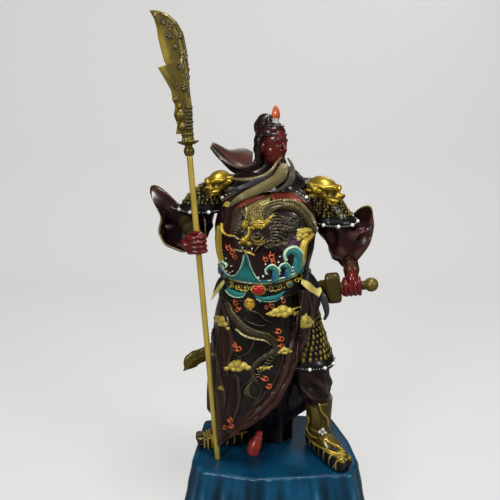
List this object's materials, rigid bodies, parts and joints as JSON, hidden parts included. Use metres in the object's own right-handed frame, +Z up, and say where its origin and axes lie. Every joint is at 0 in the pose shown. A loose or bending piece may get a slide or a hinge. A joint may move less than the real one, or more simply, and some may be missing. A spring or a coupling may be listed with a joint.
{
  "type": "painted general statue",
  "caption": "Painted cast statue of a robed, armoured general on a rock plinth, holding an upright curved-blade glaive and the hilt of a sheathed sword.",
  "frame": {"origin": "centre of the plinth's flat underside", "axes": "+Z up along the figure, -Y the side that the chest faces and that is seen from the front, +X the side of the sword hand"},
  "size_m": [0.3196, 0.2276, 0.7447],
  "materials": {
    "rock_paint": "blue painted cast resin, brushed and satin, pale worn edges",
    "figure_paint": "dark brown lacquered cast resin with gold, teal, red and white painted relief",
    "antique_gold": "antique gold paint, darkened in the hollows",
    "bright_gold": "bright brushed gold",
    "pompom_gloss": "glossy orange red on a white foot",
    "gold_relief": "gold paint on raised relief, dark wash in the hollows",
    "teal_relief": "teal paint with pale brushed crests",
    "skin_lacquer": "deep red lacquer",
    "pearl_white": "gloss white beads and dots",
    "flame_orange": "orange red painted flame curls"
  },
  "bodies": {
    "root": {"plinth": "rock_paint", "figure": "figure_paint", "sheathed_sword": "antique_gold", "cap_pompom": "pompom_gloss", "glaive_shaft": "bright_gold", "glaive_head": "antique_gold"}
  },
  "joints": []
}
